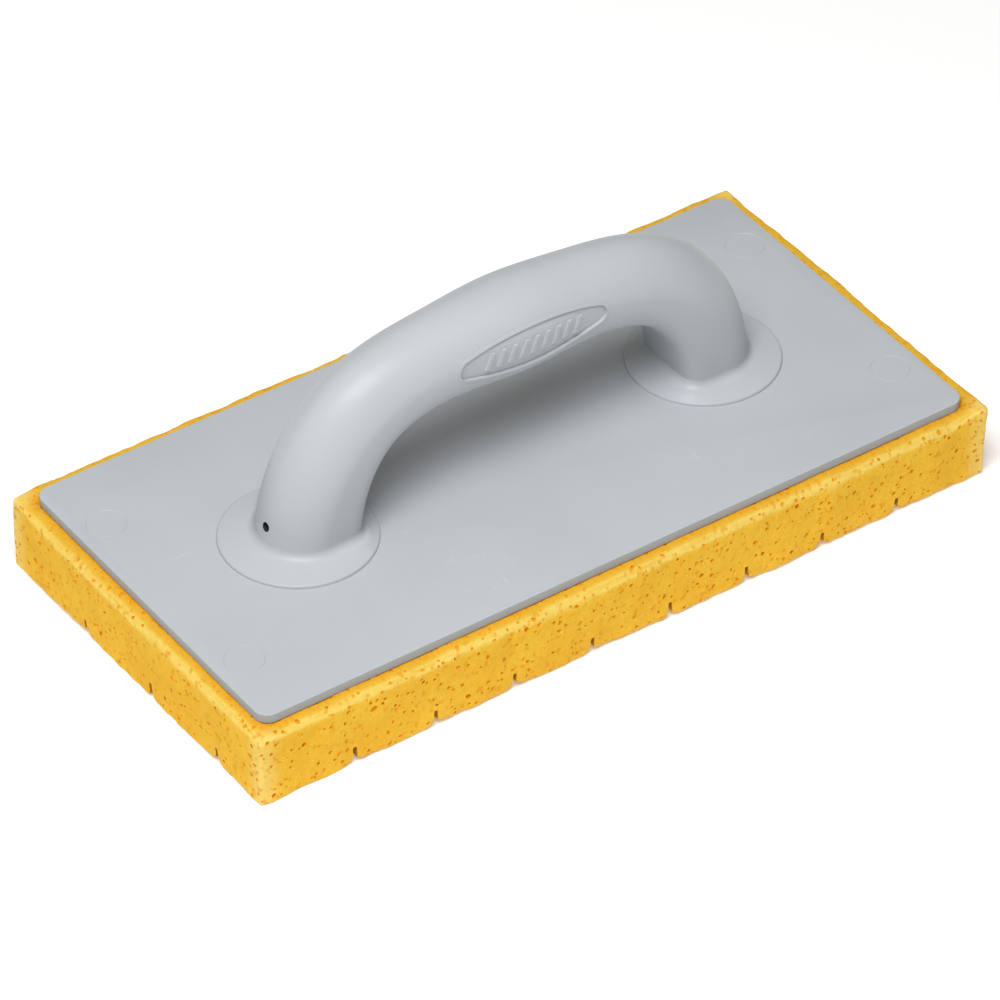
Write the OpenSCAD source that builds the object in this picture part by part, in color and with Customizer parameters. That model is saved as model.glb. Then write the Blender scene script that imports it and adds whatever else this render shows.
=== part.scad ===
// Sponge grout float: a scored sponge block glued under a rigid plate, with a hollow bow handle
// screwed to the plate through its two flanged feet.
// Frame: origin at the middle of the sponge's working face, +X along the float, +Z up.

/* [Sponge] */
// Length of the sponge block
sponge_len = 280; // [240:1:340]
// Width of the sponge block
sponge_wid = 140; // [100:1:180]
// Thickness of the sponge block
sponge_thk = 26.7; // [18:0.1:40]
// Radius of the upright corners of the sponge
sponge_corner_r = 3; // [1:0.5:8]
// Number of water cuts that run across the sponge
cross_cuts = 8; // [2:1:9]
// Distance between the cuts that run across
cross_pitch = 30; // [16:1:30]
// Number of water cuts that run along the sponge
long_cuts = 3; // [1:1:3]
// Distance between the cuts that run along
long_pitch = 37; // [14:1:38]
// Sideways offset of the middle cut that runs along
long_offset = -9; // [-10:1:10]
// Depth of every water cut
cut_depth = 5; // [2:0.5:8]
// Width of every water cut at the working face
cut_mouth = 1.8; // [0.6:0.1:3]

/* [Plate] */
// Margin of sponge left showing round the plate
plate_margin = 5; // [2:0.5:8]
// Thickness of the plate
plate_thk = 3.5; // [2.5:0.5:6]
// Radius of the plate's corners
plate_corner_r = 5.5; // [2:0.5:10]
// Diameter of the round ejector marks
mark_d = 12.8; // [8:0.2:16]
// Distance from an end of the plate to the centre of its ejector marks
mark_end_gap = 10; // [9:0.5:14]
// Half the distance between the ejector marks at one end
mark_half_gap = 39.5; // [20:0.5:40]

/* [Glue] */
// Thickness of the glue line
glue_thk = 0.3; // [0.2:0.1:0.6]
// Margin from the edge of the plate to the glue
glue_margin = 1.5; // [0.5:0.5:4]

/* [Handle] */
// Height of the grip's centreline above the plate
bow_rise = 51.5; // [49:0.5:58]
// Half the width of the grip
grip_half_wid = 14.9; // [13:0.1:16]
// Height of the grip above its centreline
grip_up = 13.8; // [13:0.1:15]
// Depth of the grip below its centreline
grip_down = 14.2; // [13:0.1:15]
// Radius of the two edges inside the bow
grip_edge_r = 6; // [4:0.5:8]
// Wall thickness of the hollow handle
wall = 3.2; // [2.4:0.1:4]
// Radius of the long curve over the top of the grip
crown_r = 210; // [190:1:230]
// Slope at which the top curve meets the elbow
crown_slope = 11; // [9:0.5:13]
// Radius of each elbow
elbow_r = 45; // [40:1:48]
// Slope at which the elbow meets the leg
elbow_slope = 70.4; // [66:0.2:72]
// Radius of the slight curve down each leg
leg_r = 113; // [100:1:150]

/* [Feet] */
// Radius of the round flange of each foot
flange_r = 25.8; // [22:0.2:30]
// Height of the flange at its rim
flange_rim = 0.8; // [0.5:0.1:1.5]
// Height of the flange where it meets the leg
flange_crown = 2; // [1.6:0.1:3]
// Radius of the locating spigot under each foot
spigot_r = 9; // [8:0.5:12]
// Depth of the locating spigot
spigot_deep = 1.2; // [0.8:0.1:1.6]
// Radius of the vent hole in the left foot
vent_r = 1.5; // [1:0.1:2]
// Height of the vent hole above the plate
vent_up = 10.2; // [8:0.1:13]

/* [Medallion] */
// Length of the oval recess on the grip
oval_len = 56; // [40:1:60]
// Height of the oval recess on the grip
oval_wid = 14.5; // [12:0.5:15]
// Depth of the oval recess
oval_deep = 0.5; // [0.3:0.1:0.8]
// Number of slanted ribs in the oval
rib_count = 9; // [3:2:11]

/* [Screws] */
// Outer radius of the screw thread
thread_r = 2.4; // [2:0.1:2.5]
// Radius of the countersunk screw head
head_r = 4.6; // [4:0.1:5]
// Length of each screw
screw_len = 19; // [15:1:20]
// Distance between the thread ridges
thread_pitch = 1.8; // [1.4:0.1:2.2]

/* [Hidden] */
$fn = 96;
eps = 0.01;
big = 400;

// Heights of the stacked faces
glue_z = sponge_thk;
plate_z = glue_z + glue_thk;
top_z = plate_z + plate_thk;

// Outline sizes of the plate
plate_len = sponge_len - 2 * plate_margin;
plate_wid = sponge_wid - 2 * plate_margin;

// Centreline of half the bow: three arcs that meet tangentially, each at its own slope
crown_drop = crown_r * (1 - cos(crown_slope));
elbow_drop = elbow_r * (cos(crown_slope) - cos(elbow_slope));
leg_drop = bow_rise - crown_drop - elbow_drop;
foot_slope = acos(cos(elbow_slope) - leg_drop / leg_r);
crown_c = [0, top_z + bow_rise - crown_r];
elbow_c = crown_c + (crown_r - elbow_r) * [sin(crown_slope), cos(crown_slope)];
leg_c = elbow_c + (elbow_r - leg_r) * [sin(elbow_slope), cos(elbow_slope)];
foot_x = leg_c[0] + leg_r * sin(foot_slope);
leg_overrun = 8;
lap = 1;
nest = 0.15;
function lap_slope(r) = lap / r * 180 / PI;

// Inside of the handle
floor_up = 4;
boss_r = 5.5;
boss_up = 16;
pilot_up = 15.5;

// Medallion
oval_end_r = oval_wid / 4;
oval_z = top_z + bow_rise - 0.8;
rib_pitch = 4.2;
rib_wid = 1.4;
rib_len = 5.5;
rib_slant = 20;

// Screws
screw_hole_r = thread_r + 0.2;
head_deep = head_r - thread_r;
head_sink = 0.2;
core_r = thread_r - 0.6;
tip_len = 3;
mark_groove = 0.6;
mark_deep = 0.15;

// Rectangle with round corners, centred
module round_rect(len, wid, r) {
    square([len - 2 * r, wid], center = true);
    square([len, wid - 2 * r], center = true);
    for (x = [-1, 1], y = [-1, 1])
        translate([x * (len / 2 - r), y * (wid / 2 - r)]) circle(r);
}

// Oval of four arcs: two small ends and two long tangent sides
module oval(len, wid, end_r) {
    end_x = len / 2 - end_r;
    side_r = (pow(end_x, 2) + pow(wid / 2, 2) - pow(end_r, 2)) / (wid - 2 * end_r);
    side_y = side_r - wid / 2;
    reach = side_r * end_x / (side_r - end_r);
    for (x = [-1, 1]) translate([x * end_x, 0]) circle(end_r);
    intersection() {
        translate([0, -side_y]) circle(side_r, $fn = 360);
        translate([0, side_y]) circle(side_r, $fn = 360);
        square([2 * reach, wid], center = true);
    }
}

// Cross-section of the grip: round outside the bow, flatter inside it
module grip_profile(inset = 0) {
    wid = grip_half_wid - inset;
    low = grip_down - inset;
    edge = grip_edge_r - inset / 2;
    round_x = grip_up - grip_half_wid;
    translate([round_x, 0]) circle(wid);
    translate([edge - low, -wid]) square([low - edge + round_x, 2 * wid]);
    translate([-low, edge - wid]) square([low, 2 * (wid - edge)]);
    for (y = [-1, 1]) translate([edge - low, y * (wid - edge)]) circle(edge);
}

// One arc of the bow; slopes are measured from the crown's level tangent
module bow_arc(centre, r, slope_a, slope_b, inset) {
    translate([centre[0], 0, centre[1]])
        rotate([0, slope_b - 90, 0])
            rotate([90, 0, 0])
                rotate_extrude(angle = slope_b - slope_a)
                    translate([r, 0]) grip_profile(inset);
}

// The whole bow above a given height, as a solid bar. Each arc starts a little way inside the
// one before it, a hair slimmer, so that the two join as one solid.
module bow(inset = 0, base_z = top_z) {
    intersection() {
        union() {
            bow_arc(crown_c, crown_r, -crown_slope, crown_slope, inset);
            for (side = [0, 1]) mirror([side, 0, 0]) {
                bow_arc(elbow_c, elbow_r, crown_slope - lap_slope(elbow_r), elbow_slope,
                        inset + nest);
                bow_arc(leg_c, leg_r, elbow_slope - lap_slope(leg_r), foot_slope + leg_overrun,
                        inset + 2 * nest);
            }
        }
        translate([-big / 2, -big / 2, base_z]) cube(big);
    }
}

// Puts its children at both feet
module at_feet() {
    for (side = [-1, 1]) translate([side * foot_x, 0, top_z]) children();
}

module flange() {
    rotate_extrude()
        polygon([[0, 0], [flange_r, 0], [flange_r, flange_rim],
                 [grip_half_wid, flange_crown], [0, flange_crown]]);
    translate([0, 0, -spigot_deep]) cylinder(r = spigot_r, h = spigot_deep + eps);
}

// Everything taken out of the oval recess, with slanted ribs left standing
module oval_cut() {
    difference() {
        translate([0, 0, oval_z]) rotate([90, 0, 0])
            linear_extrude(grip_half_wid + 1) oval(oval_len, oval_wid, oval_end_r);
        bow(oval_deep);
        for (i = [0 : rib_count - 1])
            translate([(i - (rib_count - 1) / 2) * rib_pitch, 0, oval_z])
                rotate([90, rib_slant, 0])
                    linear_extrude(grip_half_wid + 2) square([rib_wid, rib_len], center = true);
    }
}

module handle() {
    color([0.76, 0.78, 0.79]) difference() {
        union() {
            bow();
            at_feet() flange();
        }
        difference() {
            bow(wall, top_z + floor_up);
            at_feet() cylinder(r = boss_r, h = boss_up);
        }
        at_feet() translate([0, 0, -spigot_deep - eps])
            cylinder(r = thread_r, h = pilot_up + spigot_deep);
        translate([-foot_x - grip_up - 5, 0, top_z + vent_up]) rotate([0, 90, 0])
            cylinder(r = vent_r, h = grip_up - boss_r + 5);
        oval_cut();
    }
}

module base_plate() {
    color([0.75, 0.77, 0.78]) difference() {
        translate([0, 0, plate_z])
            linear_extrude(plate_thk) round_rect(plate_len, plate_wid, plate_corner_r);
        for (x = [-1, 1], y = [-1, 1])
            translate([x * (plate_len / 2 - mark_end_gap), y * mark_half_gap, top_z - mark_deep])
                difference() {
                    cylinder(d = mark_d, h = 1);
                    translate([0, 0, -1]) cylinder(d = mark_d - 2 * mark_groove, h = 3);
                }
        at_feet() {
            translate([0, 0, -spigot_deep - 0.1]) cylinder(r = spigot_r + 0.1, h = 1 + spigot_deep);
            translate([0, 0, -plate_thk - 1]) cylinder(r = screw_hole_r, h = plate_thk + 1);
            translate([0, 0, -plate_thk - eps])
                cylinder(r1 = head_r + 0.2, r2 = screw_hole_r, h = head_sink + head_deep);
        }
    }
}

// One self-tapping countersunk screw, point up, with its head's face at z = 0
module screw() {
    ridges = floor((screw_len - tip_len - head_deep) / thread_pitch);
    difference() {
        union() {
            cylinder(r1 = head_r, r2 = thread_r, h = head_deep);
            cylinder(r = core_r, h = screw_len - tip_len);
            translate([0, 0, screw_len - tip_len]) cylinder(r1 = core_r, r2 = 0.3, h = tip_len);
            for (i = [0 : ridges - 1])
                translate([0, 0, head_deep + i * thread_pitch]) rotate_extrude()
                    polygon([[0, 0], [core_r, 0], [thread_r, thread_pitch / 4],
                             [core_r, thread_pitch / 2], [0, thread_pitch / 2]]);
        }
        for (turn = [0, 90]) rotate(turn)
            translate([-head_r / 2, -0.5, -1]) cube([head_r, 1, 2.2]);
    }
}

module handle_screws() {
    color([0.6, 0.61, 0.63]) for (side = [-1, 1])
        translate([side * foot_x, 0, plate_z + head_sink]) screw();
}

module adhesive_film() {
    color([0.9, 0.88, 0.78]) translate([0, 0, glue_z])
        linear_extrude(glue_thk)
            round_rect(plate_len - 2 * glue_margin, plate_wid - 2 * glue_margin, plate_corner_r);
}

// V-shaped water cut along X, centred, opening downwards at z = 0
module water_cut(len) {
    translate([-len / 2, 0, 0]) rotate([90, 0, 90])
        linear_extrude(len)
            polygon([[-cut_mouth / 2, 0], [-cut_mouth / 2, -1], [cut_mouth / 2, -1],
                     [cut_mouth / 2, 0], [0, cut_depth]]);
}

module sponge_pad() {
    color([0.93, 0.76, 0.28]) difference() {
        linear_extrude(sponge_thk) round_rect(sponge_len, sponge_wid, sponge_corner_r);
        for (i = [0 : cross_cuts - 1])
            translate([(i - (cross_cuts - 1) / 2) * cross_pitch, 0, 0])
                rotate(90) water_cut(sponge_wid + 10);
        for (i = [0 : long_cuts - 1])
            translate([0, long_offset + (i - (long_cuts - 1) / 2) * long_pitch, 0])
                water_cut(sponge_len + 10);
    }
}

sponge_pad();
adhesive_film();
base_plate();
handle();
handle_screws();
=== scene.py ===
"""Looks of the sponge grout float: the grey plate, its hollow bow handle and the yellow sponge."""

import logging
import math
from dataclasses import dataclass
from enum import Enum

import bmesh
import bpy
import numpy as np
from mathutils import Matrix, Quaternion, Vector


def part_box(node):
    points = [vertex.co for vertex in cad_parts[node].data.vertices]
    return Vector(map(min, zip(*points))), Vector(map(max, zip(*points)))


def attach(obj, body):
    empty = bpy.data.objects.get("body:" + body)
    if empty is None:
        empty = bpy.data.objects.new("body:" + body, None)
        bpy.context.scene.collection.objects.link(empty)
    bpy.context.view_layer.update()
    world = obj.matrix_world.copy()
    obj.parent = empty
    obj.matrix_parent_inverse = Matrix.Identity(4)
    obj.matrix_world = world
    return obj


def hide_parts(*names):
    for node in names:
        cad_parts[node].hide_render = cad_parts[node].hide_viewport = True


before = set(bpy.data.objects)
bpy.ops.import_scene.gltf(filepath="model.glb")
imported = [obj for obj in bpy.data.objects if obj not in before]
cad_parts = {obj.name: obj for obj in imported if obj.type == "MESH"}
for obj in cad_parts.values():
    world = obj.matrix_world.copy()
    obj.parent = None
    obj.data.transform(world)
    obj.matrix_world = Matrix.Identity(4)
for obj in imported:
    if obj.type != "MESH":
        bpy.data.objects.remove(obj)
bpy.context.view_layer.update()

MM = 0.001
ROOT = "root"
log = logging.getLogger("float")


# ---------------------------------------------------------------- shader maths


class Shade:
    """A shader socket that can be used in Python expressions."""

    def __init__(self, kit: "ShaderKit", socket: bpy.types.NodeSocket) -> None:
        self.kit = kit
        self.socket = socket

    def _math(self, operation: str, *values: object) -> "Shade":
        """Adds one Math node.

        Args:
            operation: The Math node's operation.
            *values: Its values or links, in order.

        Returns:
            The node's output.
        """
        return self.kit.add("ShaderNodeMath", {"operation": operation}, dict(enumerate(values)))

    def __add__(self, other: object) -> "Shade":
        """Returns self + other."""
        return self._math("ADD", self, other)

    __radd__ = __add__

    def __mul__(self, other: object) -> "Shade":
        """Returns self * other."""
        return self._math("MULTIPLY", self, other)

    __rmul__ = __mul__

    def __sub__(self, other: object) -> "Shade":
        """Returns self - other."""
        return self._math("SUBTRACT", self, other)

    def __rsub__(self, other: object) -> "Shade":
        """Returns other - self."""
        return self._math("SUBTRACT", other, self)

    def __abs__(self) -> "Shade":
        """Returns self without its sign."""
        return self._math("ABSOLUTE", self)

    def most(self, other: object) -> "Shade":
        """Returns the larger of self and other."""
        return self._math("MAXIMUM", self, other)

    def ramp(self, low: float, high: float) -> "Shade":
        """Stretches the values from low to high over 0 to 1, smoothly.

        Args:
            low: The value that becomes 0.
            high: The value that becomes 1.

        Returns:
            The stretched value, clamped to 0 to 1.
        """
        return self.kit.add(
            "ShaderNodeMapRange",
            {"interpolation_type": "SMOOTHSTEP"},
            {"Value": self, "From Min": low, "From Max": high},
        )


class ShaderKit:
    """Builds the node tree of one material or of the sky."""

    def __init__(self, owner: bpy.types.Material | bpy.types.World, space: str = "Object") -> None:
        """Empties the owner's node tree.

        Args:
            owner: The new material or world.
            space: The coordinates that its patterns follow.
        """
        self.owner = owner
        self.owner.use_nodes = True
        self.tree = owner.node_tree
        self.tree.nodes.clear()
        self.space = self.add("ShaderNodeTexCoord", output=space)

    def add(
        self,
        kind: str,
        settings: dict[str, object] | None = None,
        values: dict[int | str, object] | None = None,
        output: int | str = 0,
    ) -> Shade:
        """Adds one node.

        Args:
            kind: The node's type.
            settings: Its properties, set first. A ramp's stops are given as "stops".
            values: Its inputs by name or index, each a value or a link.
            output: The output to return, by name or index.

        Returns:
            The wrapped output.
        """
        node = self.tree.nodes.new(kind)
        for key, value in (settings or {}).items():
            if key == "stops":
                self._set_stops(node.color_ramp, value)
            else:
                setattr(node, key, value)
        for key, value in (values or {}).items():
            if isinstance(value, Shade):
                self.tree.links.new(value.socket, node.inputs[key])
            else:
                node.inputs[key].default_value = value
        return Shade(self, node.outputs[output])

    @staticmethod
    def _set_stops(ramp: bpy.types.ColorRamp, stops: list[tuple[float, tuple]]) -> None:
        """Replaces a colour ramp's stops.

        Args:
            ramp: The ramp.
            stops: Place and colour of each stop, in order.
        """
        while len(ramp.elements) < len(stops):
            ramp.elements.new(1.0)
        for element, (place, colour) in zip(ramp.elements, stops):
            element.position = place
            element.color = colour

    def part(self, vector: Shade, axis: str) -> Shade:
        """Returns the X, Y or Z part of a vector."""
        return self.add("ShaderNodeSeparateXYZ", None, {0: vector}, axis)

    def facing_up(self) -> Shade:
        """Returns the upward part of the surface's normal."""
        return self.part(self.add("ShaderNodeNewGeometry", output="Normal"), "Z")

    def noise(self, size: float, detail: float = 2.0, rough: float = 0.5,
              stretch: tuple[float, float, float] = (1, 1, 1)) -> Shade:
        """Adds noise in the object's own space.

        Args:
            size: Width of one blotch, in metres.
            detail: Octaves of finer noise.
            rough: Strength of the finer noise.
            stretch: Scale of the space along each axis.

        Returns:
            The noise's value, from 0 to 1.
        """
        place = self.add("ShaderNodeMapping", None, {"Vector": self.space, "Scale": stretch})
        values = {"Vector": place, "Scale": 1 / size, "Detail": detail, "Roughness": rough}
        return self.add("ShaderNodeTexNoise", None, values, "Fac")

    def cells(self, size: float) -> Shade:
        """Adds Voronoi cells in the object's own space.

        Args:
            size: Width of one cell, in metres.

        Returns:
            The distance to the nearest cell's centre, in cell widths.
        """
        values = {"Vector": self.space, "Scale": 1 / size}
        return self.add("ShaderNodeTexVoronoi", None, values, "Distance")

    def mix(self, factor: object, first: object, second: object) -> Shade:
        """Mixes two colours.

        Args:
            factor: 0 for the first colour, 1 for the second.
            first: A colour or link.
            second: A colour or link.

        Returns:
            The mixed colour.
        """
        ends = [end if isinstance(end, Shade) else (*end[:3], 1.0) for end in (first, second)]
        return self.add("ShaderNodeMix", {"data_type": "RGBA"}, {0: factor, 6: ends[0], 7: ends[1]}, 2)

    def bump(self, height: Shade, depth: float, strength: float) -> Shade:
        """Turns a height into a normal.

        Args:
            height: The height, from 0 to 1.
            depth: What a height of 1 measures, in metres.
            strength: Share of the bump that is kept.

        Returns:
            The normal.
        """
        values = {"Height": height, "Distance": depth, "Strength": strength}
        return self.add("ShaderNodeBump", None, values)

    def finish(self, **values: object) -> bpy.types.Material:
        """Ends the tree with one Principled shader.

        Args:
            **values: The shader's sockets, with underscores for spaces.

        Returns:
            The finished material.
        """
        named = {key.replace("_", " "): value for key, value in values.items()}
        shader = self.add("ShaderNodeBsdfPrincipled", None, {"IOR": 1.5, **named})
        return self.close(shader, "ShaderNodeOutputMaterial")

    def close(self, shader: Shade, kind: str) -> bpy.types.Material | bpy.types.World:
        """Links a shader to the tree's output.

        Args:
            shader: The shader.
            kind: The output node's type.

        Returns:
            The finished material or world.
        """
        result = self.tree.nodes.new(kind)
        self.tree.links.new(shader.socket, result.inputs["Surface"])
        return self.owner


def grey(level: float, tint: tuple[float, float, float] = (1, 1, 1)) -> tuple:
    """Returns a grey of the given linear level, tinted, with alpha 1."""
    return (*(level * part for part in tint), 1.0)


# -------------------------------------------------------------------- finishes


@dataclass(frozen=True)
class MouldedPlastic:
    """Satin injection-moulded plastic with faint flow marks, hairline scratches and optional painted side
    shade.
    """

    name: str
    level: float = 0.53
    tint: tuple[float, float, float] = (0.952, 1.0, 1.04)
    rough: float = 0.36
    ior: float = 1.36
    scratches: float = 0.0
    scratch_wid: float = 0.004
    side_shade: float = 0.0
    flow_size: float = 45.0 * MM
    worn_size: float = 12.0 * MM
    sink_size: float = 8.0 * MM
    grain_size: float = 1.6 * MM
    bump_deep: float = 0.03 * MM

    def build(self) -> bpy.types.Material:
        """Makes the material.

        Returns:
            The finished material.
        """
        kit = ShaderKit(bpy.data.materials.new(self.name))
        flow = kit.noise(self.flow_size, 3.0).ramp(0.3, 0.7)
        colour = kit.mix(flow, grey(self.level * 0.975, self.tint), grey(self.level * 1.02, self.tint))
        grain = kit.noise(self.grain_size, 1.0)
        worn = kit.noise(self.worn_size, 3.0).ramp(0.35, 0.75)
        rough = self.rough + worn * 0.06 + grain * 0.02
        height = grain * 0.15 + kit.noise(self.sink_size, 1.0) * 0.85
        if self.scratches:
            mark = self.hairlines(kit) * self.scratches
            colour = kit.mix(mark, colour, grey(self.level * 1.3, self.tint))
            rough = rough + mark * 0.2
        # Painted shade: faces that do not look up, such as the plate's edge, are darkened.
        if self.side_shade:
            side = 1 - kit.facing_up().ramp(0.1, 0.6)
            colour = kit.mix(side * self.side_shade, colour, grey(self.level * 0.45, (0.96, 1.0, 0.98)))
        normal = kit.bump(height, self.bump_deep, 0.5)
        return kit.finish(Base_Color=colour, Roughness=rough, Normal=normal, IOR=self.ior)

    def hairlines(self, kit: ShaderKit) -> Shade:
        """Draws thin scratches along and across, in patches.

        Args:
            kit: The material's node tree.

        Returns:
            The scratches' strength.
        """
        along = kit.noise(90.0 * MM, 2.0, 0.5, (1.0, 14.0, 1.0)) - 0.5
        across = kit.noise(50.0 * MM, 2.0, 0.5, (9.0, 1.5, 1.0)) - 0.5
        thin = sum(1 - abs(wave).ramp(0.0, self.scratch_wid) for wave in (along, across))
        return thin * kit.noise(30.0 * MM, 1.0).ramp(0.56, 0.68)


@dataclass(frozen=True)
class SpongeSkin:
    """Cut face of an open synthetic sponge: mottled yellow with fine dark pores, painted shade on upward
    faces and beside the plate, and painted highlights on the top edge and corners.
    """

    name: str
    plate: Vector
    block: Vector
    pale: tuple[float, float, float] = (0.9, 0.545, 0.045)
    deep: tuple[float, float, float] = (0.85, 0.45, 0.022)
    crown: tuple[float, float, float] = (0.87, 0.65, 0.15)
    top: tuple[float, float, float] = (0.7, 0.41, 0.035)
    corner: tuple[float, float, float] = (0.95, 0.68, 0.18)
    pore_and_rim_shade: tuple[float, float, float] = (0.78, 0.32, 0.006)
    corner_reach: float = 9.0 * MM
    shade_reach: float = 3.4 * MM
    bump_deep: float = 0.5 * MM

    def build(self) -> bpy.types.Material:
        """Makes the material.

        Returns:
            The finished material.
        """
        kit = ShaderKit(bpy.data.materials.new(self.name))
        cloud = kit.noise(12.0 * MM, 3.0, 0.6).ramp(0.32, 0.7)
        fine = kit.noise(2.2 * MM, 2.0, 0.6).ramp(0.3, 0.75)
        ragged = 0.9 - fine * 0.3
        up = kit.facing_up()
        # Painted highlight on the rounded top edge, between upright and upward faces.
        painted_edge_highlight = up.ramp(0.08, 0.4) * (1 - up.ramp(0.65, 0.93))
        out_x, out_y = (abs(kit.part(kit.space, axis)) for axis in "XY")
        near_x = out_x.ramp(self.block.x - self.corner_reach, self.block.x)
        near_y = out_y.ramp(self.block.y - self.corner_reach, self.block.y)
        past_plate = (out_x - self.plate.x).most(out_y - self.plate.y)
        near_top = kit.part(kit.space, "Z").ramp(self.block.z - 3.0 * MM, self.block.z - MM)
        # Painted shade beside the plate's rim, near the top of the block.
        rim_shade_mask = (1 - past_plate.ramp(0.0, self.shade_reach)) * near_top
        pits = self.pits(kit, rim_shade_mask)
        colour = kit.mix(cloud * 0.55 + fine * 0.35, self.pale, self.deep)
        # Painted shade: faces that look up are darker.
        colour = kit.mix(up.ramp(0.55, 0.95) * 0.7, colour, self.top)
        # Painted highlight: the rounded top edge takes the pale crown colour.
        colour = kit.mix(painted_edge_highlight * ragged, colour, self.crown)
        # Painted highlight: paler near the block's upright corners.
        colour = kit.mix(near_x * near_y * ragged, colour, self.corner)
        # Painted shade: the strip beside the plate's rim takes the pore colour.
        colour = kit.mix(rim_shade_mask * 0.65, colour, self.pore_and_rim_shade)
        colour = kit.mix(pits * 0.85, colour, self.pore_and_rim_shade)
        height = fine * -0.35 + kit.noise(0.7 * MM, 2.0) * 0.3 + pits * -0.4
        normal = kit.bump(height, self.bump_deep, 0.8)
        return kit.finish(
            Base_Color=colour, Roughness=0.92 - cloud * 0.06, Normal=normal, Specular_IOR_Level=0.2
        )

    def pits(self, kit: ShaderKit, rim_shade_mask: Shade) -> Shade:
        """Scatters pores too fine to carve, closer together beside the plate.

        Args:
            kit: The material's node tree.
            rim_shade_mask: How close a place is to the plate's rim, from 0 to 1: the mask of the painted
                shade there, which also crowds the pits.

        Returns:
            The pits' strength, from 0 to 1.
        """
        dots = (1 - kit.cells(3.4 * MM).ramp(0.08, 0.26)) * kit.noise(5.0 * MM, 1.0).ramp(0.45, 0.6)
        smudges = kit.noise(2.6 * MM, 1.0).ramp(0.6, 0.72) * 0.7
        crowd = (1 - kit.cells(1.4 * MM).ramp(0.2, 0.5)) * rim_shade_mask
        return dots.most(smudges).most(crowd)


@dataclass(frozen=True)
class PoreWall:
    """Inside of an open pore or water cut: more orange than the skin, and darker as painted shade."""

    name: str
    lit: tuple[float, float, float] = (0.86, 0.4, 0.014)
    shaded: tuple[float, float, float] = (0.78, 0.33, 0.01)

    def build(self) -> bpy.types.Material:
        """Makes the material.

        Returns:
            The finished material.
        """
        kit = ShaderKit(bpy.data.materials.new(self.name))
        cloud = kit.noise(3.0 * MM, 2.0).ramp(0.3, 0.7)
        # Both colours are darker than the skin as painted shade; the cloud mixes them at random.
        colour = kit.mix(cloud, self.shaded, self.lit)
        normal = kit.bump(kit.noise(0.8 * MM, 2.0), 0.3 * MM, 0.7)
        return kit.finish(
            Base_Color=colour, Roughness=0.9 + cloud * 0.05, Normal=normal, Specular_IOR_Level=0.2
        )


@dataclass(frozen=True)
class GlueLine:
    """Thin cream contact adhesive, a little tacky and uneven."""

    name: str
    thin: tuple[float, float, float] = (0.62, 0.5, 0.24)
    thick: tuple[float, float, float] = (0.78, 0.68, 0.42)

    def build(self) -> bpy.types.Material:
        """Makes the material.

        Returns:
            The finished material.
        """
        kit = ShaderKit(bpy.data.materials.new(self.name))
        cloud = kit.noise(6.0 * MM, 3.0)
        colour = kit.mix(cloud, self.thin, self.thick)
        normal = kit.bump(kit.noise(2.0 * MM, 2.0), 0.2 * MM, 0.6)
        return kit.finish(Base_Color=colour, Roughness=0.45 + cloud * 0.2, Normal=normal)


@dataclass(frozen=True)
class ScrewSteel:
    """Bright zinc-plated steel with fine turning marks."""

    name: str

    def build(self) -> bpy.types.Material:
        """Makes the material.

        Returns:
            The finished material.
        """
        kit = ShaderKit(bpy.data.materials.new(self.name))
        turned = kit.noise(0.6 * MM, 2.0, 0.6, (1.0, 1.0, 6.0))
        cloud = kit.noise(3.0 * MM, 2.0)
        colour = kit.mix(cloud, grey(0.5, (1.0, 0.98, 0.94)), grey(0.66))
        normal = kit.bump(turned, 0.03 * MM, 0.5)
        return kit.finish(
            Base_Color=colour, Metallic=1.0, Roughness=0.28 + turned * 0.15, Normal=normal
        )


@dataclass(frozen=True)
class PaleFloor:
    """Plain white studio floor."""

    name: str
    glow: float = 0.19

    def build(self) -> bpy.types.Material:
        """Makes the material.

        Returns:
            The finished material.
        """
        kit = ShaderKit(bpy.data.materials.new(self.name))
        cloud = kit.noise(400.0 * MM, 2.0)
        colour = kit.mix(cloud, grey(0.93), grey(0.95))
        return kit.finish(
            Base_Color=colour, Roughness=0.9 + cloud * 0.05, Specular_IOR_Level=0.1,
            Emission_Color=grey(1.0), Emission_Strength=self.glow,
        )


# ----------------------------------------------------------------- mesh making


@dataclass(frozen=True)
class Along:
    """A value that changes smoothly along a length, given at a few places from 0 to 1."""

    places: tuple[float, ...]
    values: tuple[float, ...]
    level_start: bool = False

    def at(self, where: np.ndarray) -> np.ndarray:
        """Reads the value.

        Args:
            where: Places from 0 to 1.

        Returns:
            The value at each place, on one smooth curve through the given ones.
        """
        x, y = np.array(self.places), np.array(self.values)
        rise = np.gradient(y, x)
        if self.level_start:
            rise[0] = 0.0
        k = np.clip(np.searchsorted(x, where, side="right") - 1, 0, len(x) - 2)
        step = x[k + 1] - x[k]
        t = (where - x[k]) / step
        near, far = (1 + 2 * t) * (1 - t) ** 2, t**2 * (3 - 2 * t)
        bend = t * (1 - t) ** 2 * rise[k] - t**2 * (1 - t) * rise[k + 1]
        return near * y[k] + far * y[k + 1] + step * bend


def make_object(name: str, points: np.ndarray, faces: list) -> bpy.types.Object:
    """Makes a mesh object with its faces turned outwards.

    Args:
        name: The object's name.
        points: One row per corner, in metres.
        faces: Corner numbers of each face.

    Returns:
        The new object.
    """
    mesh = bpy.data.meshes.new(name)
    mesh.from_pydata(np.asarray(points, float).tolist(), [], faces)
    shape = bmesh.new()
    shape.from_mesh(mesh)
    bmesh.ops.recalc_face_normals(shape, faces=shape.faces)
    shape.to_mesh(mesh)
    shape.free()
    thing = bpy.data.objects.new(name, mesh)
    bpy.context.scene.collection.objects.link(thing)
    shade(thing)
    return thing


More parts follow.
